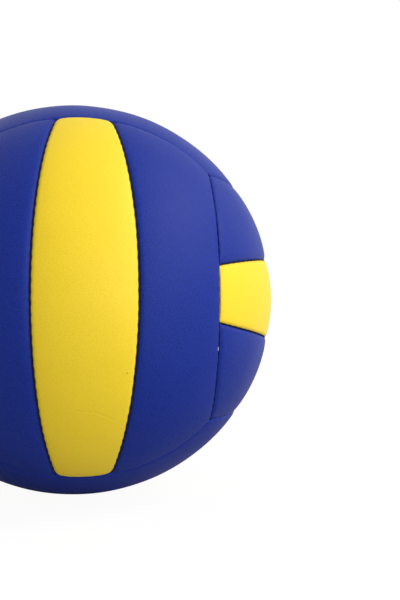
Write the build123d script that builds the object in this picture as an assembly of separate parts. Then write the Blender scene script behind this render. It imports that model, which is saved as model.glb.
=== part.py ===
from build123d import *
import os
from math import acos, asin, cos, degrees, radians, sin, sqrt, tan

# An indoor volleyball: eighteen sewn panels over a rubber bladder.
# Six faces of three strips each cover the ball, and the strips of touching faces run crosswise.
# Millimetres. The origin is the ball's centre, the front face looks along -Y and +Z is up.

# The whole ball and its seams
ball_diameter = 210.0         # over the panels, which is a girth of 660
centre_strip_width = 45.0     # across the middle of a centre strip
seam_gap = 0.5                # between the turned-in flanges of two panels
edge_roll = 3.5               # radius of the padded, rolled edges and corners of a panel
thread_diameter = 0.8
thread_clearance = 0.1        # between a thread and the rolled edges that it lies on
thread_end_gap = 0.3          # between the ends of threads that meet

# The layers, from the outside in
skin_thickness = 1.2          # synthetic leather
foam_thickness = 4.0
lining_thickness = 0.6        # cotton cloth
bladder_wall = 1.0            # rubber
glue_line = 0.1               # between two layers that are glued together
bladder_clearance = 0.2       # between the lining and the blown-up bladder

# The valve, in the middle of the rear centre strip
valve_recess = 0.9            # from the panel's surface down to the rubber nose
nose_diameter = 8.0
nose_round = 0.8
nose_clearance = 0.2          # round the nose in every layer that it passes through
flange_diameter = 27.0        # vulcanised to the inside of the bladder
flange_thickness = 1.5
stem_diameter = 10.0          # where the duckbill leaves the flange
stem_length = 18.0
lip_width = 8.4               # across the duckbill's closed lips
lip_thickness = 2.8
lip_round = 1.2
lip_depth = 3.0               # solid rubber below the blind end of the needle channel
needle_diameter = 1.9         # the channel that a pump needle pushes into
mouth_diameter = 3.6
mouth_depth = 1.4
patch_diameter = 34.0         # cloth disc glued inside the lining round the valve

# Radii from the ball's centre, worked out from the sizes above
skin_outer = ball_diameter / 2
skin_inner = skin_outer - skin_thickness
foam_outer = skin_inner - glue_line
foam_inner = foam_outer - foam_thickness
lining_outer = foam_inner - glue_line
lining_inner = lining_outer - lining_thickness
patch_outer = lining_inner - glue_line
patch_inner = patch_outer - lining_thickness
bladder_outer = lining_inner - bladder_clearance
bladder_inner = bladder_outer - bladder_wall
dent_depth = bladder_outer - (patch_inner - bladder_clearance)
flange_outer = bladder_inner - dent_depth - glue_line
flange_inner = flange_outer - flange_thickness

# Border seams lie on cones round the axes through the faces. Three of them meet at each corner
# of a face, which is on a diagonal of the axes, so the cones' half angle is fixed.
border_angle = degrees(acos(1 / sqrt(3)))
strip_tilt = degrees(asin(centre_strip_width / 2 / skin_outer))

# Local frames of the six faces: z points outwards, y runs along the strips.
# The two names belong to the side strips on the frame's -x and +x sides.
faces = {
    "front": (Plane((0, 0, 0), x_dir=(1, 0, 0), z_dir=(0, -1, 0)), "left", "right"),
    "back": (Plane((0, 0, 0), x_dir=(-1, 0, 0), z_dir=(0, 1, 0)), "right", "left"),
    "right": (Plane((0, 0, 0), x_dir=(0, 0, -1), z_dir=(1, 0, 0)), "upper", "lower"),
    "left": (Plane((0, 0, 0), x_dir=(0, 0, 1), z_dir=(-1, 0, 0)), "lower", "upper"),
    "top": (Plane((0, 0, 0), x_dir=(0, -1, 0), z_dir=(0, 0, 1)), "rear", "front"),
    "bottom": (Plane((0, 0, 0), x_dir=(0, 1, 0), z_dir=(0, 0, -1)), "front", "rear"),
}
valve_face = "back"
on_floor = (Align.CENTER, Align.CENTER, Align.MIN)


def ball(radius):
    """A sphere whose poles and seam line lie away from the face on +z."""
    return Plane((0, 0, 0), x_dir=(0, 0, -1), z_dir=(0, 1, 0)).location * Sphere(radius)


def border_cone(axis, shift):
    """The cone on a border seam round +z or +x, its apex moved along the axis by shift."""
    height = ball_diameter
    base = height * tan(radians(border_angle))
    apex = Plane((0, 0, 0), x_dir=(0, 0, -1), z_dir=(1, 0, 0)) if axis == "x" else Plane.XY
    return apex.offset(shift).location * Cone(0, base, height, align=on_floor)


def strip_seam(side, offset):
    """The plane of the strip seam on the -x or +x side of the centre strip, moved along +x."""
    return Plane.YZ.rotated((0, side * strip_tilt, 0)).offset(offset)


def strip_block(strip, depth, outer_radius, inner_radius):
    """A strip of spherical shell, its walls depth inside the outer walls of the skin."""
    inset = seam_gap / 2 + depth
    apex_shift = inset / sin(radians(border_angle))
    face = (ball(outer_radius) - ball(inner_radius)) & border_cone("z", apex_shift)
    if strip == "centre":
        half = split(face, bisect_by=strip_seam(1, -inset), keep=Keep.BOTTOM)
        return single(split(half, bisect_by=strip_seam(-1, inset), keep=Keep.TOP))
    half = split(face, bisect_by=strip_seam(1, inset), keep=Keep.TOP)
    return single(half - border_cone("x", -apex_shift))


def single(shape):
    """The one solid of a shape."""
    (solid,) = shape.solids()
    return solid


def corner_edges(block):
    """The four upright edges of a strip, which point at the ball's centre."""
    return [edge for edge in block.edges() if abs((edge @ 0).length - (edge @ 1).length) > glue_line]


def rim_edges(block, outer_radius):
    """The four edges round the outer surface of a strip."""
    return [edge for edge in block.edges() if min((edge @ 0).length, (edge @ 1).length) > outer_radius - glue_line]


def roll_over(block, depth, edges):
    """Round edges of a block, concentric with the rolled edges of the skin, which are depth outside them."""
    roll = edge_roll - depth
    return block.fillet(roll, edges) if roll > 0 else block


def padded_block(strip, depth, outer_radius, inner_radius):
    """A strip with a rolled rim and rounded corners."""
    block = strip_block(strip, depth, outer_radius, inner_radius)
    return roll_over(block, depth, rim_edges(block, outer_radius) + corner_edges(block))


def make_skin(strip):
    """The leather skin of a panel: a tray with its edges rolled over and turned in to the lining."""
    blank = padded_block(strip, 0, skin_outer, lining_inner)
    hollow = padded_block(strip, skin_thickness, skin_inner, lining_inner - skin_thickness)
    return single(blank - hollow)


def make_foam(strip):
    """The foam pad that fills the tray, between the skin and the lining."""
    return padded_block(strip, skin_thickness + glue_line, foam_outer, foam_inner)


def make_lining(strip):
    """The cloth that backs the foam, cut to the tray's rounded corners."""
    depth = skin_thickness + glue_line
    sheet = strip_block(strip, depth, lining_outer, lining_inner)
    return roll_over(sheet, depth, corner_edges(sheet))


def thread_radius():
    """How far from the ball's centre a thread lies when it rests on two rolled edges."""
    apart = edge_roll + thread_diameter / 2 + thread_clearance
    sideways = edge_roll + seam_gap / 2
    return skin_outer - edge_roll + sqrt(apart**2 - sideways**2)


def thread_arc(plane_offset, half_angle):
    """A thread along a circle round the x axis, at plane_offset on it, centred on the z direction."""
    ring = sqrt(thread_radius() ** 2 - plane_offset**2)
    section = Plane.XZ * Pos(plane_offset, ring) * Circle(thread_diameter / 2)
    return single(Rot(X=-half_angle) * revolve(section, axis=Axis.X, revolution_arc=2 * half_angle))


def strip_threads():
    """The two threads of a face that sew its centre strip to its side strips."""
    border_reach = degrees(acos(cos(radians(border_angle)) / cos(radians(strip_tilt))))
    short_of_border = degrees((thread_diameter + thread_end_gap) / thread_radius())
    arc = thread_arc(0, border_reach - short_of_border)
    return [Rot(Y=side * strip_tilt) * arc for side in (-1, 1)]


def border_threads():
    """The two threads of a face that sew its long borders to the strip ends of its neighbours."""
    plane_offset = thread_radius() * cos(radians(border_angle))
    ring = thread_radius() * sin(radians(border_angle))
    corner_reach = degrees(acos(plane_offset / ring))
    short_of_corner = degrees((thread_diameter + thread_end_gap) / ring)
    arc = thread_arc(plane_offset, corner_reach - short_of_corner)
    return [arc, Rot(Z=180) * arc]


def through_cut(diameter):
    """A round cutter along z that opens every layer over the valve."""
    return Cylinder(diameter / 2, ball_diameter, align=on_floor)


nose_hole = nose_diameter + 2 * nose_clearance


def make_valve_patch():
    """A cloth ring glued to the inside of the lining, round the valve's nose."""
    ring = through_cut(patch_diameter) - through_cut(nose_hole)
    return single((ball(patch_outer) - ball(patch_inner)) & ring)


def dented_ball(radius, dent_diameter):
    """A ball with a shallow round dent in the middle of the face on +z."""
    return ball(radius) - (through_cut(dent_diameter) - ball(radius - dent_depth))


def make_bladder():
    """A rubber sphere with a hole for the valve, which the patch presses in round the hole."""
    dent_diameter = patch_diameter + 2 * bladder_clearance
    outside = dented_ball(bladder_outer, dent_diameter)
    inside = dented_ball(bladder_inner, dent_diameter + 2 * bladder_wall)
    return single(outside - inside - through_cut(nose_hole))


def make_valve():
    """The rubber valve: nose, flange and duckbill in one moulding, with a blind needle channel."""
    nose_top = skin_outer - valve_recess
    nose = Pos(0, 0, flange_inner) * Cylinder(nose_diameter / 2, nose_top - flange_inner, align=on_floor)
    nose = fillet(nose.edges().group_by(Axis.Z)[-1], nose_round)
    flange = (ball(flange_outer) - ball(flange_inner)) & through_cut(flange_diameter)
    stem_top = flange_inner + flange_thickness / 2
    stem_tip = flange_inner - stem_length
    lips = Pos(0, 0, stem_tip) * RectangleRounded(lip_width, lip_thickness, lip_round)
    stem = loft([lips, Pos(0, 0, stem_top) * Circle(stem_diameter / 2)])
    channel_end = stem_tip + lip_depth
    channel = Pos(0, 0, channel_end) * Cylinder(needle_diameter / 2, nose_top - channel_end, align=on_floor)
    mouth = Pos(0, 0, nose_top - mouth_depth) * Cone(
        needle_diameter / 2, mouth_diameter / 2, mouth_depth, align=on_floor
    )
    return single(nose + flange + stem - channel - mouth)


layers = {"panel": make_skin, "foam": make_foam, "lining": make_lining}
strips = {(layer, strip): make(strip) for layer, make in layers.items() for strip in ("centre", "side")}

nodes = {}
strip_seams = []
border_seams = []
for face, (frame, low_name, high_name) in faces.items():
    place = frame.location
    for layer in layers:
        centre = strips[layer, "centre"]
        side = strips[layer, "side"]
        if face == valve_face:
            centre = single(centre - through_cut(nose_hole))
        nodes[f"{layer}_{face}_centre"] = place * centre
        nodes[f"{layer}_{face}_{high_name}"] = place * side
        nodes[f"{layer}_{face}_{low_name}"] = place * Rot(Z=180) * side
    strip_seams += [place * thread for thread in strip_threads()]
    border_seams += [place * thread for thread in border_threads()]

valve_place = faces[valve_face][0].location
nodes["thread_strip_seams"] = Compound(strip_seams)
nodes["thread_border_seams"] = Compound(border_seams)
nodes["bladder"] = valve_place * make_bladder()
nodes["valve_patch"] = valve_place * make_valve_patch()
nodes["valve"] = valve_place * make_valve()

os.makedirs("parts", exist_ok=True)
for name, shape in nodes.items():
    export_step(shape, f"parts/{name}.step")
print(len(nodes), "nodes; strip seams tilt", round(strip_tilt, 2), "degrees; threads at radius",
      round(thread_radius(), 2), "and bladder at radius", round(bladder_outer, 2))
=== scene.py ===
# %% [markdown]
# # A sewn volleyball
# Eighteen padded leather strips cover this ball. They lie on six faces of three strips each, and the
# strips of touching faces run crosswise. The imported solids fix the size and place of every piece.
# This lesson gives the pieces their looks, and it changes no dimension.

# %% Load the frame
import math
from collections import namedtuple

import bpy
import numpy as np
from mathutils import Euler, Matrix, Vector


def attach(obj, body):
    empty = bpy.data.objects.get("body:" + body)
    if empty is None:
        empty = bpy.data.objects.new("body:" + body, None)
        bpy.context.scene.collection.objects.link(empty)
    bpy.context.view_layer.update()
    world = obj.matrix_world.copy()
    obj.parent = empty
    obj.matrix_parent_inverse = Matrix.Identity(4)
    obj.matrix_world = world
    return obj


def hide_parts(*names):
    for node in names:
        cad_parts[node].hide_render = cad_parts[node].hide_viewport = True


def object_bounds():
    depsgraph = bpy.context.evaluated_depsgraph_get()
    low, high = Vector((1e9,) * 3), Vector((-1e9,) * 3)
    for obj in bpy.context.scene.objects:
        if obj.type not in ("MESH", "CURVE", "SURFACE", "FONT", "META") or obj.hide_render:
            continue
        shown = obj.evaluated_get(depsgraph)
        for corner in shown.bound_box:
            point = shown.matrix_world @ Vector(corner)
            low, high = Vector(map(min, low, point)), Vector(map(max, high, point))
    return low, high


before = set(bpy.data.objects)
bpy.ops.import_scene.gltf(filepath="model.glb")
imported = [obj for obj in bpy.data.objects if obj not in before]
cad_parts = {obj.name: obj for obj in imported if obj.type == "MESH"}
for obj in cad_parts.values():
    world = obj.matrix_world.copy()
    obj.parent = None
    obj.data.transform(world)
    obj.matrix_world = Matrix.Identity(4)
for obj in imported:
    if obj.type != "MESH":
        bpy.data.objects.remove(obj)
cad_box = [list(corner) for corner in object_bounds()]
print("nodes in the frame:", len(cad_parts))

# %% [markdown]
# ## The ball's own measures
# The same sizes as in the solids, in metres. The seams between faces are circles on cones round the
# three axes: the cones meet on the diagonals of the axes, so their half angle is fixed. The seams
# between the strips of one face are great circles, tilted so that the centre strip has its real width.

# %% The measures of the strips
MM = 0.001
BALL_RADIUS = 105 * MM
CENTRE_STRIP_WIDTH = 45 * MM
SKIN_THICKNESS = 1.2 * MM
FLANGE_RADIUS = BALL_RADIUS - 5.9 * MM
BORDER_ANGLE = math.acos(1 / math.sqrt(3))
STRIP_TILT = math.asin(CENTRE_STRIP_WIDTH / 2 / BALL_RADIUS)
half_height = (cad_box[1][2] - cad_box[0][2]) / 2
print("ball radius", BALL_RADIUS, "m; half the frame's height", round(half_height, 4), "m")

# %% [markdown]
# Each face has a frame of its own: the strips run along its y axis, and z points outwards.
# A matrix with those axes as columns turns a strip that is modelled once into its place on the ball.

# %% The six faces
FACE_AXES = {
    "front": ((1, 0, 0), (0, 0, 1), (0, -1, 0)),
    "back": ((-1, 0, 0), (0, 0, 1), (0, 1, 0)),
    "right": ((0, 0, -1), (0, 1, 0), (1, 0, 0)),
    "left": ((0, 0, 1), (0, 1, 0), (-1, 0, 0)),
    "top": ((0, -1, 0), (1, 0, 0), (0, 0, 1)),
    "bottom": ((0, 1, 0), (1, 0, 0), (0, 0, -1)),
}
SIDE_NAMES = {
    "front": ("left", "right"),
    "back": ("right", "left"),
    "right": ("upper", "lower"),
    "left": ("lower", "upper"),
    "top": ("rear", "front"),
    "bottom": ("front", "rear"),
}
HALF_TURN = Matrix.Rotation(math.pi, 4, "Z")


def face_matrix(face):
    return Matrix(FACE_AXES[face]).transposed().to_4x4()


print("faces:", ", ".join(FACE_AXES))

# %% [markdown]
# ## The camera
# The photograph was taken from straight in front of the ball, close to it and a little below its
# middle. The camera looked past the ball's right side, so the picture's edge cuts the ball.
# The lens follows from how much larger the near strips look than the far ones.

# %% Camera
CAMERA_PLACE = Vector((-0.0421, -3.6464, -0.1303)) * BALL_RADIUS
CAMERA_PITCH = 2.041
CAMERA_ROLL = 0.235
CAMERA_HEADING = 10.547
LENS = 40.42
SENSOR = 36

bpy.ops.object.camera_add(location=CAMERA_PLACE)
camera = bpy.context.object
camera.name = "camera"
camera.rotation_euler = Euler(
    (math.radians(90 + CAMERA_PITCH), math.radians(CAMERA_ROLL), math.radians(-CAMERA_HEADING))
)
camera.data.sensor_width = SENSOR
camera.data.lens = LENS
camera.data.clip_start = 0.01
bpy.context.scene.camera = camera
print("camera", round(CAMERA_PLACE.length, 3), "m from the ball's centre")

# %% [markdown]
# ## A point on a strip
# A strip is a piece of the sphere between two long seams and two ends. Planes that fan from one long
# seam to the other each cut a circle on the sphere, and the circle's stretch between the two ends
# gives the points along the strip. So across and along, from -1 to 1, reach every point, and the
# strip's edges follow its seams. All points are handled at once, as arrays.
# The long edges stay inside their seams by small insets, given for the low and the high one. The ends
# are sewn in two ways. Soft ends nearly touch the next face, and the centre strip's corners are round
# there. Tight ends are pulled back further, which opens the seam, and their corners are nearly square.

# %% Strip directions
EDGE_INSET = {
    "centre": (0.05 * MM, 0.05 * MM),
    "side": (0.4 * MM, 0.03 * MM),
    "full": (0.05 * MM, 0.03 * MM),
}
Sewing = namedtuple("Sewing", "centre_corner end_inset")
SOFT_ENDS = Sewing(3.2 * MM, 0.03 * MM)
TIGHT_ENDS = Sewing(0.8 * MM, 0.5 * MM)


def long_sides(strip):
    """Tilt and offset of the planes through a strip's two long edges, on the unit sphere."""
    low, high = (inset / BALL_RADIUS for inset in EDGE_INSET[strip])
    if strip == "centre":
        return (-STRIP_TILT, low), (STRIP_TILT, -high)
    return (STRIP_TILT, low), (0.0, math.cos(BORDER_ANGLE + high))


def strip_directions(strip, sewing, across, along):
    """Directions from the ball's centre to points on a strip, in the face's own frame."""
    (first_tilt, first_offset), (last_tilt, last_offset) = long_sides(strip)
    share = (across + 1) / 2
    tilt = first_tilt + (last_tilt - first_tilt) * share
    offset = first_offset + (last_offset - first_offset) * share
    ring = np.sqrt(1 - offset**2)
    end_height = math.cos(BORDER_ANGLE - sewing.end_inset / BALL_RADIUS)
    reach = np.arccos((end_height + offset * np.sin(tilt)) / (ring * np.cos(tilt)))
    height = ring * np.cos(reach * along)
    return np.stack(
        [
            offset * np.cos(tilt) + height * np.sin(tilt),
            ring * np.sin(reach * along),
            height * np.cos(tilt) - offset * np.sin(tilt),
        ],
        axis=-1,
    )


centre_middle = strip_directions("centre", SOFT_ENDS, np.zeros(1), np.zeros(1))
print("direction of a centre strip's middle:", centre_middle[0])

# %% [markdown]
# The padding, the rolled edge and the stitches all depend on how far a point lies from the nearest
# seam, so the next functions measure that. They also give the direction straight away from the seam,
# and how far along the seam the point lies, which is what the stitches are counted by.

# %% Distances from the seams


def unit(vectors):
    """Vectors of length one, where a vector of no length stays as it is."""
    lengths = np.linalg.norm(vectors, axis=-1, keepdims=True)
    return vectors / np.where(lengths > 0, lengths, 1)


def away_from(wall_normal, points):
    """Unit tangents that point away from a wall whose outward normal is given."""
    normal = np.broadcast_to(np.asarray(wall_normal, float), points.shape)
    tangent = normal - points * (points * normal).sum(-1, keepdims=True)
    return -unit(tangent)


def strip_seam_distance(points, side):
    """Distance from the great circle of a strip seam, positive on the side of the face's middle."""
    lean = points[..., 2] * math.sin(STRIP_TILT) - side * points[..., 0] * math.cos(STRIP_TILT)
    return BALL_RADIUS * np.arcsin(lean)


Edge = namedtuple("Edge", "kind distance way length")


def panel_edges(strip, sewing, points):
    """A panel's low side, high side and ends: distances, ways off them, and lengths along them."""
    along_strip = BALL_RADIUS * np.arcsin(np.abs(points[..., 1]))
    border_ring = BALL_RADIUS * math.sin(BORDER_ANGLE)
    along_border = border_ring * np.arctan2(np.abs(points[..., 1]), points[..., 2])
    along_end = border_ring * np.arctan2(np.abs(points[..., 0]), np.abs(points[..., 1]))
    cosine, sine = math.cos(STRIP_TILT), math.sin(STRIP_TILT)
    low_inset, high_inset = EDGE_INSET[strip]
    if strip == "centre":
        low_gap = strip_seam_distance(points, -1) - low_inset
        high_gap = strip_seam_distance(points, 1) - high_inset
        low = Edge(strip, low_gap, away_from((-cosine, 0, -sine), points), along_strip)
        high = Edge(strip, high_gap, away_from((cosine, 0, -sine), points), along_strip)
    else:
        low_gap = -strip_seam_distance(points, 1) - low_inset
        high_gap = BALL_RADIUS * (np.arccos(points[..., 0]) - BORDER_ANGLE) - high_inset
        low = Edge(strip, low_gap, away_from((-cosine, 0, sine), points), along_strip)
        high = Edge("border", high_gap, away_from((1, 0, 0), points), along_border)
    end_height = np.clip(points[..., 2], -1, 1)
    end_gap = BALL_RADIUS * (BORDER_ANGLE - np.arccos(end_height)) - sewing.end_inset
    return low, high, Edge("end", end_gap, away_from((0, 0, -1), points), along_end)


for edge in panel_edges("centre", SOFT_ENDS, centre_middle):
    distance = round(edge.distance[0] / MM, 1)
    print("a centre strip's middle lies", distance, "mm from its edge of kind", edge.kind)

# %% [markdown]
# ## A padded panel
# On the real ball a panel is soft leather glued on foam. Its edges are turned in and sewn from the
# inside, so each edge rolls over into the seam, and every stitch pulls the roll in a little.
# The panel starts as a grid. Its points crowd towards the edges, where the surface bends most.
# The corners of the grid are squeezed into quarter circles, which keeps its lines even there.
# Where a centre panel's corners are round, the soft side panels beside it fill what the round leaves
# open. One of the two side panels of a face is stuffed fuller, so its edge rolls over further.
# The sizes below are given for each kind of edge: those of the three strips, the border and the end.
# With a steepness of one the roll ends straight down in the seam. Below one it ends in a soft valley.

# %% The shape of a panel
GRID_ACROSS = 44
GRID_ALONG = 252
EDGE_CROWDING = 1.8
END_SHARE = 0.09
SIDE_CORNER = 1.0 * MM
CORNER_FILL = 1.45 * MM
CORNER_FILL_SHARE = 0.85
EdgeShape = namedtuple("EdgeShape", "roll_width roll_depth steepness crown_depth crown_width opening")
EDGE_SHAPES = {
    "centre": EdgeShape(2.0 * MM, 0.95 * MM, 1.0, 0.95 * MM, 5.5 * MM, 0.20 * MM),
    "side": EdgeShape(2.2 * MM, 0.95 * MM, 1.0, 0.95 * MM, 5.5 * MM, 0.14 * MM),
    "full": EdgeShape(4.0 * MM, 1.6 * MM, 1.0, 0.95 * MM, 5.5 * MM, 0.14 * MM),
    "border": EdgeShape(1.3 * MM, 0.6 * MM, 0.7, 0.9 * MM, 6.0 * MM, 0.15 * MM),
    "end": EdgeShape(2.6 * MM, 1.4 * MM, 0.7, 0.4 * MM, 8.0 * MM, 0.15 * MM),
}
EDGE_BLEND = 1.0 * MM
STITCH_PITCH = 4.8 * MM
STITCH_PULL = 0.09 * MM
PULL_WIDTH = 1.0 * MM


def crowd_across(steps):
    return np.sign(steps) * (1 - (1 - np.abs(steps)) ** EDGE_CROWDING)


def crowd_along(steps):
    from_end = 1 - np.abs(steps)
    close = END_SHARE * np.clip(from_end / END_SHARE, 0, 1) ** EDGE_CROWDING
    return np.sign(steps) * (1 - np.where(from_end < END_SHARE, close, from_end))


def corner_share(edge, radius):
    """How far a point lies into a corner of a given radius, from one of its edges, from 0 to 1."""
    return np.clip(1 - edge.distance / radius, 0, 1)


def fill_beside_centre(sewing, side, end):
    """How far a side panel's corner spreads into what a centre panel's round corner leaves open."""
    radius = sewing.centre_corner
    left_open = radius * (1 - np.sqrt(1 - corner_share(end, radius) ** 2))
    return np.minimum(CORNER_FILL_SHARE * left_open, CORNER_FILL) * corner_share(side, radius)


def round_corners(strip, sewing, points, edges):
    """Squeeze the four corners into quarter circles, and measure how far each point is from the rim."""
    radius = sewing.centre_corner if strip == "centre" else SIDE_CORNER
    low, high, end = edges
    end_share = corner_share(end, radius)
    rim = np.minimum(np.minimum(low.distance, high.distance), end.distance)
    for side in (low, high):
        side_share = corner_share(side, radius)
        side_move = radius * side_share * (1 - np.sqrt(1 - end_share**2 / 2))
        end_move = radius * end_share * (1 - np.sqrt(1 - side_share**2 / 2))
        if strip != "centre" and side is low:
            side_move = side_move - fill_beside_centre(sewing, side, end)
        points = points + (side.way * side_move[..., None] + end.way * end_move[..., None]) / BALL_RADIUS
        reach = np.sqrt(side_share**2 + end_share**2 - side_share**2 * end_share**2)
        rim = np.where((side_share > 0) & (end_share > 0), radius * (1 - reach), rim)
    return unit(points), rim


def stitch_wave(length):
    """One at a stitch and zero halfway between two."""
    return 0.5 + 0.5 * np.cos(2 * math.pi * length / STITCH_PITCH)


def nearest_edge_value(edges, name):
    """A named size of the edges, blended towards the edge that is nearest."""
    weights = [np.exp(-edge.distance / EDGE_BLEND) for edge in edges]
    values = [getattr(EDGE_SHAPES[edge.kind], name) for edge in edges]
    return sum(weight * value for weight, value in zip(weights, values)) / sum(weights)


def panel_points(strip, sewing, across, along):
    """The outside of a padded panel, in the face's own frame."""
    points = strip_directions(strip, sewing, across, along)
    edges = panel_edges(strip, sewing, points)
    points, rim = round_corners(strip, sewing, points, edges)
    opening = np.zeros_like(points)
    pull = np.zeros(len(points))
    crown = np.zeros(len(points))
    for edge in edges:
        shape = EDGE_SHAPES[edge.kind]
        edge_pull = stitch_wave(edge.length) * np.exp(-((edge.distance / PULL_WIDTH) ** 2))
        opening += edge.way * shape.opening * edge_pull[:, None]
        pull = np.maximum(pull, edge_pull)
        crown += (shape.crown_depth * np.exp(-edge.distance / shape.crown_width)) ** 3
    points = unit(points + opening / BALL_RADIUS)
    bend = np.clip(1 - rim / nearest_edge_value(edges, "roll_width"), 0, 1)
    steepness = nearest_edge_value(edges, "steepness")
    roll = nearest_edge_value(edges, "roll_depth") * (1 - np.sqrt(1 - steepness * bend**2))
    return points * (BALL_RADIUS - roll - np.cbrt(crown) - STITCH_PULL * pull)[:, None]


print("panel grid", GRID_ACROSS, "by", GRID_ALONG, "with", len(EDGE_SHAPES), "kinds of edge")

# %% [markdown]
# The grid is bent into the panel, and then its rim is extruded towards the ball's centre, which gives
# the turned-in flange. A Solidify modifier makes the skin as thick as the leather.
# The centre panel and the two side panels, plain and full, are modelled once for each way of sewing
# the ends.

# %% Model the patterns of the panels


def mesh_points(mesh):
    values = np.empty(len(mesh.vertices) * 3, np.float32)
    mesh.vertices.foreach_get("co", values)
    return values.reshape(-1, 3).astype(float)


def set_mesh_points(mesh, points):
    mesh.vertices.foreach_set("co", np.ascontiguousarray(points, np.float32).ravel())
    mesh.update()


def choose(piece):
    """Make one piece the only selected and active one."""
    bpy.ops.object.select_all(action="DESELECT")
    piece.select_set(True)
    bpy.context.view_layer.objects.active = piece


def apply_modifier(piece, kind, **settings):
    choose(piece)
    modifier = piece.modifiers.new(kind.title(), kind)
    for name, value in settings.items():
        setattr(modifier, name, value)
    bpy.ops.object.modifier_apply(modifier=modifier.name)


def turn_in_rim(piece, radius):
    """Extrude the open rim and draw it towards the ball's centre, in two steps."""
    rim_radius = np.linalg.norm(mesh_points(piece.data), axis=1).min()
    scale = math.sqrt(radius / rim_radius)
    choose(piece)
    bpy.ops.object.mode_set(mode="EDIT")
    bpy.ops.mesh.select_mode(type="EDGE")
    bpy.ops.mesh.select_all(action="DESELECT")
    bpy.ops.mesh.select_non_manifold()
    for step in range(2):
        bpy.ops.mesh.extrude_edges_move()
        bpy.ops.transform.resize(value=(scale, scale, scale), center_override=(0, 0, 0))
    bpy.ops.object.mode_set(mode="OBJECT")


def make_panel(strip, sewing):
    bpy.ops.object.select_all(action="DESELECT")
    bpy.ops.mesh.primitive_grid_add(x_subdivisions=GRID_ACROSS, y_subdivisions=GRID_ALONG, size=2)
    panel = bpy.context.object
    panel.name = f"pattern_{strip}"
    steps = mesh_points(panel.data)
    points = panel_points(strip, sewing, crowd_across(steps[:, 0]), crowd_along(steps[:, 1]))
    set_mesh_points(panel.data, points)
    turn_in_rim(panel, FLANGE_RADIUS)
    apply_modifier(panel, "SOLIDIFY", thickness=SKIN_THICKNESS, offset=-1, use_quality_normals=True)
    choose(panel)
    bpy.ops.object.shade_smooth()
    print(panel.name, "has", len(panel.data.polygons), "faces")
    return panel


patterns = {
    (strip, sewing): make_panel(strip, sewing)
    for strip in ("centre", "side", "full")
    for sewing in (SOFT_ENDS, TIGHT_ENDS)
}

# %% [markdown]
# ## Seams that wander
# The seams of a sewn ball are never quite where the pattern puts them. In the photograph they wander by
# up to a millimetre. Each line below gives a spot on the ball, and how far its seam lies to the right of
# the pattern and above it, in millimetres. Spots with no move hold the seams that are in place.
# Bell curves round the spots carry the moves over to all the points between them.

# %% Wandering seams
SEAM_MOVES = (
    ((0.577, -0.577, 0.577), 0.5, -0.3),
    ((0.577, -0.712, 0.400), 0.7, 0),
    ((0.577, -0.816, 0), 0.6, 0),
    ((0.577, -0.712, -0.400), 1.0, 0),
    ((0.577, -0.577, -0.577), 1.0, -0.5),
    ((0.350, -0.577, -0.740), 0, -1.0),
    ((0.720, -0.385, -0.577), 0, -0.6),
    ((0.977, 0, 0.214), 0, -1.05),
    ((0.850, -0.500, 0.190), 0, -0.5),
    ((0.977, 0, -0.214), 0, 0.5),
    ((0.850, -0.500, -0.190), 0, 0.45),
    ((0.214, -0.977, 0), 0, 0),
    ((0.190, -0.840, 0.500), 0, 0),
    ((0.190, -0.840, -0.500), 0, 0),
    ((0.120, -0.577, 0.800), 0, 0),
    ((0.120, -0.577, -0.800), 0, 0),
    ((0.800, -0.200, 0.577), 0, 0),
)
MOVE_REACH = 26 * MM
move_spots = unit(np.array([spot for spot, sideways, upwards in SEAM_MOVES]))
move_right = unit(np.cross((0, 0, 1), move_spots))
move_up = np.cross(move_spots, move_right)
seam_moves = np.array([[sideways * MM, upwards * MM] for spot, sideways, upwards in SEAM_MOVES])


def closeness(directions):
    """How much each spot weighs at each of the given directions."""
    apart = BALL_RADIUS * np.linalg.norm(directions[:, None] - move_spots[None], axis=-1)
    return np.exp(-((apart / MOVE_REACH) ** 2) / 2)


move_weights = np.linalg.solve(
    closeness(move_spots), move_right * seam_moves[:, :1] + move_up * seam_moves[:, 1:]
)


def settle(points):
    """Points moved along the ball's surface with the seams, at the height that they had."""
    height = np.linalg.norm(points, axis=-1, keepdims=True)
    directions = points / height
    return unit(directions + closeness(directions) @ move_weights / BALL_RADIUS) * height


moved = settle(move_spots * BALL_RADIUS) - move_spots * BALL_RADIUS
print("largest seam move", round(np.linalg.norm(moved, axis=1).max() / MM, 2), "mm")

# %% [markdown]
# ## Place the panels
# Every panel is a copy with its own mesh, turned to its face. No two panels of a sewn ball puff out
# quite alike, so a few soft waves, drawn from a seeded generator, lift and sink each one slightly.
# The right and the left face have the tight ends, as the photograph shows at the right.

# %% Place the eighteen panels
TIGHT_FACES = ("right", "left")
WAVE_COUNT = 6
WAVE_HEIGHT = 0.07 * MM
WAVE_LENGTHS = (18 * MM, 50 * MM)
random_draws = np.random.default_rng(18)


def soft_waves(points):
    """A smooth field of a few waves in random directions, about one in height."""
    field = np.zeros(len(points))
    for wave in range(WAVE_COUNT):
        direction = unit(random_draws.normal(size=3))
        length = random_draws.uniform(*WAVE_LENGTHS)
        phase = random_draws.uniform(0, 2 * math.pi)
        field += np.sin(2 * math.pi * (points @ direction) / length + phase)
    return field / math.sqrt(WAVE_COUNT)


def place_panel(face, strip_name, strip, turn):
    pattern = patterns[strip, TIGHT_ENDS if face in TIGHT_FACES else SOFT_ENDS]
    panel = pattern.copy()
    panel.data = pattern.data.copy()
    panel.name = f"padded_{face}_{strip_name}"
    panel.data.name = panel.name
    bpy.context.collection.objects.link(panel)
    panel.data.transform(face_matrix(face) @ turn)
    points = mesh_points(panel.data)
    lift = WAVE_HEIGHT * soft_waves(points)
    set_mesh_points(panel.data, settle(points + unit(points) * lift[:, None]))
    node = f"panel_{face}_{strip_name}"
    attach(panel, "root")
    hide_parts(node)
    return panel


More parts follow.
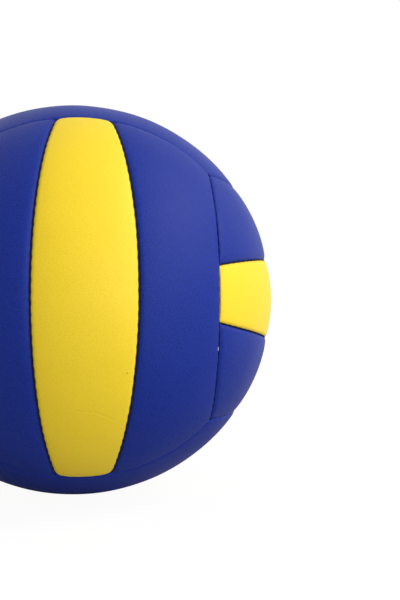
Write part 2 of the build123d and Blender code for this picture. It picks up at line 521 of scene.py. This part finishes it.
panels = {}
for face, (low_name, high_name) in SIDE_NAMES.items():
    panels[face, "centre"] = place_panel(face, "centre", "centre", Matrix())
    panels[face, high_name] = place_panel(face, high_name, "side", Matrix())
    panels[face, low_name] = place_panel(face, low_name, "full", HALF_TURN)
for pattern in patterns.values():
    bpy.data.objects.remove(pattern)
print("placed", len(panels), "panels")

# %% [markdown]
# ## The valve's hole
# The rear centre panel is punched for the valve. A round cutter and a Boolean modifier make the hole,
# as a punch does in the leather.

# %% Punch the valve's hole
VALVE_HOLE = 8.4 * MM
PUNCH_LENGTH = 30 * MM
PUNCH_SIDES = 64
valve_panel = panels["back", "centre"]
bpy.ops.object.select_all(action="DESELECT")
bpy.ops.mesh.primitive_cylinder_add(
    vertices=PUNCH_SIDES,
    radius=VALVE_HOLE / 2,
    depth=PUNCH_LENGTH,
    location=(0, BALL_RADIUS, 0),
    rotation=(math.pi / 2, 0, 0),
)
punch = bpy.context.object
apply_modifier(valve_panel, "BOOLEAN", operation="DIFFERENCE", object=punch, solver="EXACT")
bpy.data.objects.remove(punch)
print(valve_panel.name, "has", len(valve_panel.data.polygons), "faces after punching")

# %% [markdown]
# ## Stitches
# A waxed black thread holds the panels together. It shows in the seam as a row of short slanted
# stitches, each dipping into the leather at both ends. One stitch is a slim bar, thick in its middle,
# and the same bar is laid again and again along each seam. Cuts across its long edges let it bend.

# %% Model one stitch
THREAD_WIDTH = 0.75 * MM
THREAD_DEPTH = {"strip": 1.7 * MM, "border": 2.3 * MM}
STITCH_SLANT = 0.20 * MM
STITCH_ARCH = 0.25 * MM
STITCH_SINK = 0.6
STITCH_END_SHARE = 0.62
STITCH_SIDES = 8
STITCH_RINGS = 7

bpy.ops.object.select_all(action="DESELECT")
bpy.ops.mesh.primitive_cylinder_add(vertices=STITCH_SIDES, radius=0.5, depth=1, location=(0, 0, 0))
stitch = bpy.context.object
bpy.ops.object.mode_set(mode="EDIT")
bpy.ops.mesh.select_mode(type="FACE")
bpy.ops.mesh.select_all(action="DESELECT")
bpy.ops.object.mode_set(mode="OBJECT")
for edge in stitch.data.edges:
    first, second = (stitch.data.vertices[index].co for index in edge.vertices)
    edge.select = abs(first.z - second.z) > 0.5
bpy.ops.object.mode_set(mode="EDIT")
bpy.ops.mesh.select_mode(type="EDGE")
bpy.ops.mesh.subdivide(number_cuts=STITCH_RINGS)
bpy.ops.object.mode_set(mode="OBJECT")
stitch_shape = mesh_points(stitch.data)
stitch_faces = [list(face.vertices) for face in stitch.data.polygons]
bpy.data.objects.remove(stitch)
print("a stitch has", len(stitch_faces), "faces")

# %% [markdown]
# The bar's own length becomes the way along the seam, from one needle hole to the next. Its middle
# arches outwards and its ends sink, and it slants from one side of the seam to the other.

# %% Lay the stitches along the seams
STITCH_LAP = 1.2
SEAM_END_ROOM = 0.4 * STITCH_PITCH


def seam_curve(kind, length):
    """The directions outwards and across at points on a seam's line, in the face's frame."""
    height, ring = (0, 1) if kind == "strip" else (math.cos(BORDER_ANGLE), math.sin(BORDER_ANGLE))
    turn = length / (BALL_RADIUS * ring)
    outwards = np.stack([np.full_like(turn, height), ring * np.sin(turn), ring * np.cos(turn)], -1)
    along = np.stack([np.zeros_like(turn), np.cos(turn), -np.sin(turn)], -1)
    if kind == "strip":
        lean = np.array(Matrix.Rotation(STRIP_TILT, 3, "Y"))
        outwards, along = outwards @ lean.T, along @ lean.T
    return outwards, np.cross(along, outwards)


def stitch_points(kind, middle):
    """The bar bent along a seam, round a middle that is given as a length on the seam."""
    share = stitch_shape[:, 2] * 2
    length = middle + share * STITCH_PITCH / 2 * STITCH_LAP
    outwards, across = seam_curve(kind, length)
    bulge = np.cos(share * math.pi / 2)
    thickness = THREAD_WIDTH * (STITCH_END_SHARE + (1 - STITCH_END_SHARE) * bulge)
    arch = STITCH_ARCH * (bulge - STITCH_SINK)
    sideways = stitch_shape[:, 0] * thickness + STITCH_SLANT * share
    upwards = BALL_RADIUS - THREAD_DEPTH[kind] + arch + stitch_shape[:, 1] * thickness
    return outwards * upwards[:, None] + across * sideways[:, None]


def seam_half_length(kind):
    if kind == "strip":
        return BALL_RADIUS * math.acos(math.cos(BORDER_ANGLE) / math.cos(STRIP_TILT))
    return BALL_RADIUS * math.sin(BORDER_ANGLE) * math.pi / 4


def sew(kind):
    """All the stitches of one kind of seam, as one mesh."""
    reach = seam_half_length(kind) - SEAM_END_ROOM
    count = int(reach / STITCH_PITCH)
    middles = [STITCH_PITCH * (number + 0.5) for number in range(-count - 1, count + 1)]
    points, faces = [], []
    for face in FACE_AXES:
        for turn in (Matrix(), HALF_TURN):
            place = np.array(face_matrix(face) @ turn)[:3, :3]
            for middle in middles:
                start = sum(len(block) for block in points)
                points.append(settle(stitch_points(kind, middle) @ place.T))
                faces += [[start + corner for corner in face_corners] for face_corners in stitch_faces]
    mesh = bpy.data.meshes.new(f"stitches_{kind}_seams")
    mesh.from_pydata(np.concatenate(points).tolist(), [], faces)
    sewn = bpy.data.objects.new(mesh.name, mesh)
    bpy.context.collection.objects.link(sewn)
    choose(sewn)
    bpy.ops.object.mode_set(mode="EDIT")
    bpy.ops.mesh.select_all(action="SELECT")
    bpy.ops.mesh.normals_make_consistent(inside=False)
    bpy.ops.object.mode_set(mode="OBJECT")
    bpy.ops.object.shade_smooth()
    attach(sewn, "root")
    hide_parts(f"thread_{kind}_seams")
    print(sewn.name, "has", len(points), "stitches")
    return sewn


stitches = {kind: sew(kind) for kind in ("strip", "border")}

# %% [markdown]
# ## The leather
# The cover is synthetic leather with a fine pebbled grain. The pebbles are Voronoi cells whose borders
# are the creases between them, shaken by noise so that they look less even. Fine noise adds pores, and
# slow noise makes broad patches that are a little duller. Blue and yellow share this grain, so it is a
# node group that puts out a height and two masks. The colours stay in the two materials.

# %% Leather grain group
PEBBLE = 1.0 * MM
PORE = 0.28 * MM
PATCH = 40 * MM
SHAKE_SCALE = 0.35 / PEBBLE
SHAKE_REACH = 0.9 * PEBBLE
CREASE_WIDTH = 0.22
PORE_HEIGHT = 0.35


def new_group(name, inputs, outputs):
    group = bpy.data.node_groups.new(name, "ShaderNodeTree")
    for socket, kind in inputs:
        group.interface.new_socket(name=socket, in_out="INPUT", socket_type=kind)
    for socket in outputs:
        group.interface.new_socket(name=socket, in_out="OUTPUT", socket_type="NodeSocketFloat")
    return group


def add_node(tree, kind, **settings):
    node = tree.nodes.new(kind)
    for name, value in settings.items():
        if name in node.inputs:
            node.inputs[name].default_value = value
        else:
            setattr(node, name, value)
    return node


def math_node(tree, operation, first, second):
    node = add_node(tree, "ShaderNodeMath", operation=operation)
    for socket, value in zip(node.inputs, (first, second)):
        if isinstance(value, (int, float)):
            socket.default_value = value
        else:
            tree.links.new(value, socket)
    return node.outputs[0]


def leather_grain():
    group = new_group(
        "leather_grain", [("Coordinates", "NodeSocketVector")], ["Height", "Crease", "Patch"]
    )
    links = group.links
    entry = add_node(group, "NodeGroupInput")
    leave = add_node(group, "NodeGroupOutput")
    shake = add_node(group, "ShaderNodeTexNoise", Scale=SHAKE_SCALE, Detail=2.0)
    shift = add_node(group, "ShaderNodeVectorMath", operation="MULTIPLY_ADD")
    shift.inputs[1].default_value = (SHAKE_REACH, SHAKE_REACH, SHAKE_REACH)
    cells = add_node(group, "ShaderNodeTexVoronoi", feature="DISTANCE_TO_EDGE", Scale=1 / PEBBLE)
    crease = add_node(group, "ShaderNodeMapRange", interpolation_type="SMOOTHSTEP")
    crease.inputs["From Max"].default_value = CREASE_WIDTH
    pores = add_node(group, "ShaderNodeTexNoise", Scale=1 / PORE, Detail=2.0)
    patch = add_node(group, "ShaderNodeTexNoise", Scale=1 / PATCH, Detail=3.0)
    links.new(entry.outputs["Coordinates"], shake.inputs["Vector"])
    links.new(shake.outputs["Color"], shift.inputs[0])
    links.new(entry.outputs["Coordinates"], shift.inputs[2])
    links.new(shift.outputs[0], cells.inputs["Vector"])
    links.new(cells.outputs["Distance"], crease.inputs["Value"])
    links.new(entry.outputs["Coordinates"], pores.inputs["Vector"])
    links.new(entry.outputs["Coordinates"], patch.inputs["Vector"])
    fine = math_node(group, "MULTIPLY", pores.outputs["Fac"], PORE_HEIGHT)
    height = math_node(group, "ADD", crease.outputs["Result"], fine)
    links.new(height, leave.inputs["Height"])
    valley = math_node(group, "SUBTRACT", 1.0, crease.outputs["Result"])
    links.new(valley, leave.inputs["Crease"])
    links.new(patch.outputs["Fac"], leave.inputs["Patch"])
    return group


grain = leather_grain()
print("leather grain group with pebbles of", PEBBLE / MM, "mm")

# %% [markdown]
# Use leaves marks: a fine fold across the front centre strip and a speck of dirt on it. A small white
# fleck is painted on the blue at one seam as well. All are short lines on the ball, so they share a group
# that masks the points near a line from a start to an end. It measures how far along the line a point
# lies, and from there how far off the line it is.

# %% Wear mark group


def vector_node(tree, operation, first, second):
    node = add_node(tree, "ShaderNodeVectorMath", operation=operation)
    tree.links.new(first, node.inputs[0])
    tree.links.new(second, node.inputs[1])
    return node.outputs["Value"] if operation == "DOT_PRODUCT" else node.outputs["Vector"]


def wear_mark():
    vectors = [(socket, "NodeSocketVector") for socket in ("Coordinates", "Start", "End")]
    group = new_group("wear_mark", [*vectors, ("Width", "NodeSocketFloat")], ["Mask"])
    entry = add_node(group, "NodeGroupInput").outputs
    leave = add_node(group, "NodeGroupOutput")
    line = vector_node(group, "SUBTRACT", entry["End"], entry["Start"])
    reach = vector_node(group, "SUBTRACT", entry["Coordinates"], entry["Start"])
    travelled = vector_node(group, "DOT_PRODUCT", reach, line)
    share = math_node(group, "DIVIDE", travelled, vector_node(group, "DOT_PRODUCT", line, line))
    share.node.use_clamp = True
    foot = add_node(group, "ShaderNodeVectorMath", operation="SCALE")
    group.links.new(line, foot.inputs[0])
    group.links.new(share, foot.inputs["Scale"])
    off_line = vector_node(group, "SUBTRACT", reach, foot.outputs["Vector"])
    distance = math_node(group, "SQRT", vector_node(group, "DOT_PRODUCT", off_line, off_line), 0.0)
    mask = add_node(group, "ShaderNodeMapRange", interpolation_type="SMOOTHSTEP")
    mask.inputs["To Min"].default_value = 1.0
    mask.inputs["To Max"].default_value = 0.0
    group.links.new(distance, mask.inputs["Value"])
    group.links.new(entry["Width"], mask.inputs["From Max"])
    group.links.new(mask.outputs["Result"], leave.inputs["Mask"])
    return group


marks = wear_mark()
print("wear mark group made")

# %% [markdown]
# The two leathers mix a face colour with a darker crease colour, and the patches also change how rough
# the surface is. A Bump node turns the height into relief, into which the folds are pressed. Spots have
# a colour of their own: the fleck at the seam is painted white, and dirt is brown.

# %% Leather materials
LEATHER_ROUGHNESS = 0.50
PATCH_ROUGHNESS = 0.12
GRAIN_RELIEF = 0.06 * MM
FOLD_DEPTH = 3.0
# The white that is painted as a small fleck on the blue at one seam.
FLECK_WHITE = (0.86, 0.88, 0.92)
DIRT_BROWN = (0.42, 0.28, 0.03)
FOLDS = (
    ((-3.0, -92.1, -50.4), (4.2, -91.7, -51.1), 0.75),
    ((4.2, -91.7, -51.1), (11.6, -88.9, -54.4), 0.75),
)
# Where the small white fleck is painted on the blue edge at one seam.
WHITE_FLECK = ((60.3, -80.8, -24.5), (60.3, -80.7, -25.3), 0.88)
SPECK = ((17.4, -97.2, -34.2), (17.6, -97.1, -34.4), 0.5)


def colour_mix(tree, factor, first, second):
    mix = add_node(tree, "ShaderNodeMix", data_type="RGBA")
    tree.links.new(factor, mix.inputs["Factor"])
    for name, colour in (("A", first), ("B", second)):
        if isinstance(colour, tuple):
            mix.inputs[name].default_value = (*colour, 1)
        else:
            tree.links.new(colour, mix.inputs[name])
    return mix.outputs["Result"]


def new_material(name):
    material = bpy.data.materials.new(name)
    material.use_nodes = True
    tree = material.node_tree
    return material, tree, tree.nodes["Principled BSDF"]


def mark_mask(tree, place, mark):
    """The mask of one line, which is given in millimetres."""
    start, end, width = mark
    node = add_node(tree, "ShaderNodeGroup", node_tree=marks)
    tree.links.new(place, node.inputs["Coordinates"])
    node.inputs["Start"].default_value = [MM * value for value in start]
    node.inputs["End"].default_value = [MM * value for value in end]
    node.inputs["Width"].default_value = MM * width
    return node.outputs["Mask"]


def leather(name, face_colour, crease_colour, crease_share, gloss, relief, folds=(), spots=()):
    material, tree, surface = new_material(name)
    place = add_node(tree, "ShaderNodeTexCoord").outputs["Object"]
    grained = add_node(tree, "ShaderNodeGroup", node_tree=grain)
    tree.links.new(place, grained.inputs["Coordinates"])
    creased = math_node(tree, "MULTIPLY", grained.outputs["Crease"], crease_share)
    colour = colour_mix(tree, creased, face_colour, crease_colour)
    for mark, spot_colour in spots:
        colour = colour_mix(tree, mark_mask(tree, place, mark), colour, spot_colour)
    tree.links.new(colour, surface.inputs["Base Color"])
    patchy = math_node(tree, "MULTIPLY", grained.outputs["Patch"], PATCH_ROUGHNESS)
    rough = math_node(tree, "ADD", patchy, LEATHER_ROUGHNESS - PATCH_ROUGHNESS / 2)
    tree.links.new(rough, surface.inputs["Roughness"])
    surface.inputs["Specular IOR Level"].default_value = gloss
    height = grained.outputs["Height"]
    for fold in folds:
        pressed = math_node(tree, "MULTIPLY", mark_mask(tree, place, fold), FOLD_DEPTH)
        height = math_node(tree, "SUBTRACT", height, pressed)
    bump = add_node(tree, "ShaderNodeBump", Strength=relief, Distance=GRAIN_RELIEF)
    tree.links.new(height, bump.inputs["Height"])
    tree.links.new(bump.outputs["Normal"], surface.inputs["Normal"])
    return material


blue_leather = leather(
    "blue_leather",
    face_colour=(0.0078, 0.028, 0.272),
    crease_colour=(0.003, 0.014, 0.168),
    crease_share=0.6,
    gloss=0.16,
    relief=0.75,
    # The blue carries the small white fleck painted at one seam.
    spots=[(WHITE_FLECK, FLECK_WHITE)],
)
yellow_leather = leather(
    "yellow_leather",
    face_colour=(0.918, 0.662, 0.024),
    crease_colour=(0.780, 0.545, 0.012),
    crease_share=0.35,
    gloss=0.29,
    relief=0.45,
    folds=FOLDS,
    spots=[(SPECK, DIRT_BROWN)],
)


def dress(piece, material):
    piece.data.materials.clear()
    piece.data.materials.append(material)


for (face, strip_name), panel in panels.items():
    dress(panel, yellow_leather if strip_name == "centre" else blue_leather)
print("leather on", len(panels), "panels")

# %% [markdown]
# ## Thread, rubber, foam and cloth
# The thread is waxed and nearly black. The hidden layers keep the shapes of their solids, and get the
# finish that they have on the real ball: matt rubber, closed-cell foam and woven cotton.
# Each line gives a material's two colours, the size of its grain, its roughness and its relief.

# %% Materials of the thread and the inner layers
FINISHES = {
    "waxed_thread": ((0.010, 0.009, 0.008), (0.024, 0.021, 0.018), 0.25 * MM, 0.7, 0.05 * MM),
    "valve_rubber": ((0.016, 0.016, 0.018), (0.034, 0.034, 0.037), 0.5 * MM, 0.6, 0.03 * MM),
    "bladder_rubber": ((0.020, 0.018, 0.017), (0.040, 0.037, 0.034), 2 * MM, 0.65, 0.05 * MM),
    "foam_padding": ((0.70, 0.67, 0.60), (0.88, 0.86, 0.80), 0.6 * MM, 0.9, 0.2 * MM),
    "lining_cotton": ((0.62, 0.58, 0.50), (0.80, 0.77, 0.69), 0.7 * MM, 0.95, 0.1 * MM),
}
LAYER_FINISH = {
    "foam": "foam_padding",
    "lining": "lining_cotton",
    "bladder": "bladder_rubber",
    "valve": "valve_rubber",
    "valve_patch": "lining_cotton",
}
SPECKLE_STRENGTH = 0.6
THREAD_GLOSS = 0.1


def speckled(name, low_colour, high_colour, grain_size, roughness, relief):
    """A material whose colour and relief follow one noise of a given grain size."""
    material, tree, surface = new_material(name)
    place = add_node(tree, "ShaderNodeTexCoord")
    noise = add_node(tree, "ShaderNodeTexNoise", Scale=1 / grain_size, Detail=4.0)
    tree.links.new(place.outputs["Object"], noise.inputs["Vector"])
    colour = colour_mix(tree, noise.outputs["Fac"], low_colour, high_colour)
    tree.links.new(colour, surface.inputs["Base Color"])
    surface.inputs["Roughness"].default_value = roughness
    bump = add_node(tree, "ShaderNodeBump", Strength=SPECKLE_STRENGTH, Distance=relief)
    tree.links.new(noise.outputs["Fac"], bump.inputs["Height"])
    tree.links.new(bump.outputs["Normal"], surface.inputs["Normal"])
    return material


finishes = {name: speckled(name, *values) for name, values in FINISHES.items()}
thread_surface = finishes["waxed_thread"].node_tree.nodes["Principled BSDF"]
thread_surface.inputs["Specular IOR Level"].default_value = THREAD_GLOSS
for piece in stitches.values():
    dress(piece, finishes["waxed_thread"])
for name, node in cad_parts.items():
    finish = LAYER_FINISH.get(name) or LAYER_FINISH.get(name.split("_")[0])
    if finish:
        for number in range(len(node.data.materials)):
            node.data.materials[number] = finishes[finish]
print("inner layers dressed:", ", ".join(LAYER_FINISH))

# %% [markdown]
# ## Light and backdrop
# The picture has a pure white backdrop and soft light from the right and the front. The world is white
# for what the camera and reflections see, and dimmer for the light it casts. The floor is white to the
# camera too, with a trace of the ball's shadow.

# %% World


def mirrored_rays(tree):
    """One for glossy and transmission rays."""
    path = add_node(tree, "ShaderNodeLightPath")
    return math_node(tree, "MAXIMUM", path.outputs["Is Glossy Ray"], path.outputs["Is Transmission Ray"])


def camera_rays(tree):
    return add_node(tree, "ShaderNodeLightPath").outputs["Is Camera Ray"]


AMBIENT = 0.45
world = bpy.data.worlds.new("white_studio")
bpy.context.scene.world = world
world.use_nodes = True
world_tree = world.node_tree
dim = world_tree.nodes["Background"]
dim.inputs["Color"].default_value = (1, 1, 1, 1)
dim.inputs["Strength"].default_value = AMBIENT
white = add_node(world_tree, "ShaderNodeBackground", Color=(1, 1, 1, 1), Strength=1.0)
world_mix = add_node(world_tree, "ShaderNodeMixShader")
seen = math_node(world_tree, "MAXIMUM", camera_rays(world_tree), mirrored_rays(world_tree))
world_tree.links.new(seen, world_mix.inputs[0])
world_tree.links.new(dim.outputs[0], world_mix.inputs[1])
world_tree.links.new(white.outputs[0], world_mix.inputs[2])
world_tree.links.new(world_mix.outputs[0], world_tree.nodes["World Output"].inputs["Surface"])
bpy.context.scene.view_settings.view_transform = "Standard"
print("world lights at", AMBIENT)

# %% [markdown]
# The floor is a large disc under the ball. Its material mixes a plain grey surface, which catches the
# shadow and throws light back up at the ball, with white for the rays that see it directly. Away from
# the ball the white takes over, so the floor runs into the backdrop without a line.

# %% Floor
FLOOR_RADIUS = 6
FLOOR_SIDES = 96
FLOOR_GAP = 0.2 * MM
FLOOR_GREY = 0.58
FLOOR_ROUGHNESS = 0.9
FLOOR_GLOW = 1.075
FLOOR_WHITE = 0.88
SHADOW_REACH = (0.12, 0.60)
bpy.ops.object.select_all(action="DESELECT")
bpy.ops.mesh.primitive_circle_add(
    vertices=FLOOR_SIDES, radius=FLOOR_RADIUS, fill_type="NGON", location=(0, 0, 0)
)
floor = bpy.context.object
floor.name = "floor"
floor.data.transform(Matrix.Translation((0, 0, cad_box[0][2] - FLOOR_GAP)))
floor_material, floor_tree, floor_surface = new_material("pale_floor")
floor_surface.inputs["Base Color"].default_value = (FLOOR_GREY, FLOOR_GREY, FLOOR_GREY, 1)
floor_surface.inputs["Roughness"].default_value = FLOOR_ROUGHNESS
floor_surface.inputs["Specular IOR Level"].default_value = 0.0
glow = add_node(floor_tree, "ShaderNodeEmission", Color=(1, 1, 1, 1), Strength=FLOOR_GLOW)
floor_mix = add_node(floor_tree, "ShaderNodeMixShader")
floor_place = add_node(floor_tree, "ShaderNodeTexCoord")
from_ball = add_node(floor_tree, "ShaderNodeVectorMath", operation="LENGTH")
floor_tree.links.new(floor_place.outputs["Object"], from_ball.inputs[0])
away = add_node(floor_tree, "ShaderNodeMapRange", interpolation_type="SMOOTHSTEP")
away.inputs["From Min"].default_value, away.inputs["From Max"].default_value = SHADOW_REACH
floor_tree.links.new(from_ball.outputs["Value"], away.inputs["Value"])
faded = math_node(floor_tree, "MULTIPLY", away.outputs["Result"], 1 - FLOOR_WHITE)
shown = math_node(floor_tree, "ADD", faded, FLOOR_WHITE)
shown = math_node(floor_tree, "MULTIPLY", shown, camera_rays(floor_tree))
mirrored = math_node(floor_tree, "MULTIPLY", away.outputs["Result"], mirrored_rays(floor_tree))
share = math_node(floor_tree, "MAXIMUM", shown, mirrored)
floor_tree.links.new(share, floor_mix.inputs[0])
floor_tree.links.new(floor_surface.outputs[0], floor_mix.inputs[1])
floor_tree.links.new(glow.outputs[0], floor_mix.inputs[2])
floor_tree.links.new(floor_mix.outputs[0], floor_tree.nodes["Material Output"].inputs["Surface"])
dress(floor, floor_material)
print("floor at", round(cad_box[0][2], 4), "m")

# %% [markdown]
# One large area lamp stands high on the right and a little in front. Its size makes the shading soft,
# and its reflection is the broad sheen on the upper right of the ball. A second, larger one stands low in
# front, to the right, and fills in. Their strengths follow from the shading of the blue and the yellow in
# the photograph.

# %% Lamps
LAMP_DISTANCE = 1.3


def softbox(name, direction, size, power):
    towards = Vector(direction).normalized()
    bpy.ops.object.light_add(type="AREA", location=towards * LAMP_DISTANCE)
    lamp = bpy.context.object
    lamp.name = name
    lamp.rotation_euler = towards.to_track_quat("Z", "Y").to_euler()
    lamp.data.shape = "SQUARE"
    lamp.data.size = size
    lamp.data.energy = power


softbox("key_softbox", (0.72, -0.42, 0.68), size=0.7, power=10.3)
softbox("front_softbox", (0.5, -0.85, -0.1), size=1.1, power=13.8)
